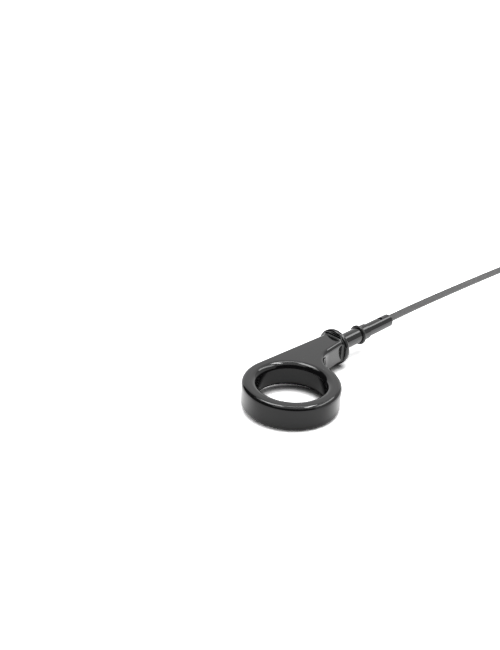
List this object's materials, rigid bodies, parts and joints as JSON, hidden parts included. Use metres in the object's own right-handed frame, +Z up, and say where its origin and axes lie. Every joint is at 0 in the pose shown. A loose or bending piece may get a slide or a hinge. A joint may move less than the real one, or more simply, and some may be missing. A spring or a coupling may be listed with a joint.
{
  "type": "engine oil dipstick",
  "caption": "Engine oil dipstick: black metal handle with an offset finger ring, tapered neck, round flange and sealed shank, holding a long flat steel blade.",
  "frame": {"origin": "on the shank's axis, in the plane of the flange face that seats on the dipstick tube", "axes": "+X along the shank towards the blade's tip, +Z up out of the ring's flat upper face, and the finger ring lies offset towards -Y"},
  "size_m": [0.4665, 0.0523, 0.0267],
  "materials": {
    "black_metal": "black anodised, satin",
    "seal_rubber": "smooth moulded rubber",
    "blade_steel": "rolled spring steel",
    "pin_steel": "oiled dark steel"
  },
  "bodies": {
    "root": {"handle": "black_metal", "shank_seal": "seal_rubber", "blade": "blade_steel", "blade_pin": "pin_steel"}
  },
  "joints": []
}
